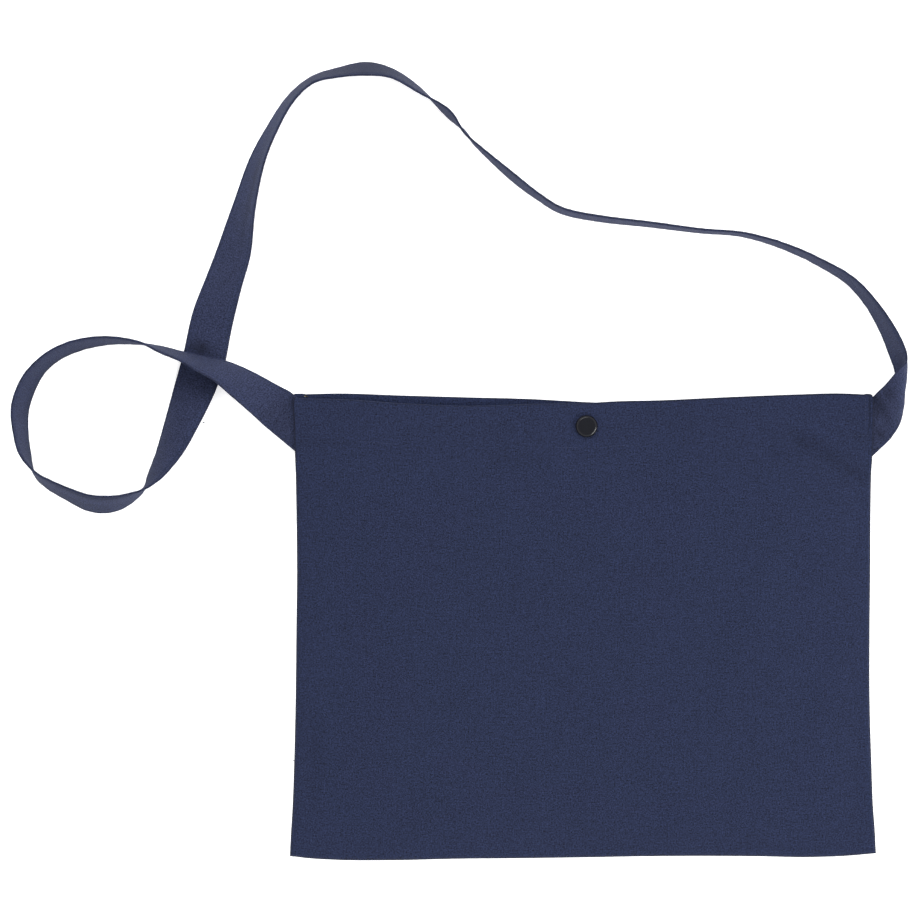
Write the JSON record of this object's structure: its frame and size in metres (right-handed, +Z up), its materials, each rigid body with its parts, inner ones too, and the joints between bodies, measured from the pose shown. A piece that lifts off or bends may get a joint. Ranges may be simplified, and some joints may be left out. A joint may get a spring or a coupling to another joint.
{
  "type": "cycling musette bag",
  "caption": "Flat rectangular cotton canvas shoulder bag with an open hemmed mouth, a press snap and a long twisted fabric strap, lying flat.",
  "frame": {"origin": "on the surface under the middle of the whole object's box, with the bag lying on its back", "axes": "+X along the mouth towards the right side seam, +Y from the bottom seam up to the mouth and out over the strap, +Z up out of the front"},
  "size_m": [0.621, 0.5574, 0.0324],
  "materials": {
    "canvas": "plain woven cotton canvas, dark navy, matt",
    "seam_edge": "overlocked raw edges of the same canvas",
    "strap_cloth": "the same canvas folded to a flat strap, topstitched, matt",
    "snap_enamel": "glossy black cap",
    "snap_metal": "blackened metal"
  },
  "bodies": {
    "root": {"front_panel": "canvas", "back_panel": "canvas", "seam_left": "seam_edge", "seam_right": "seam_edge", "seam_bottom": "seam_edge", "strap": "strap_cloth", "snap_cap": "snap_enamel", "snap_socket": "snap_metal", "snap_stud": "snap_metal", "snap_post": "snap_metal"}
  },
  "joints": []
}
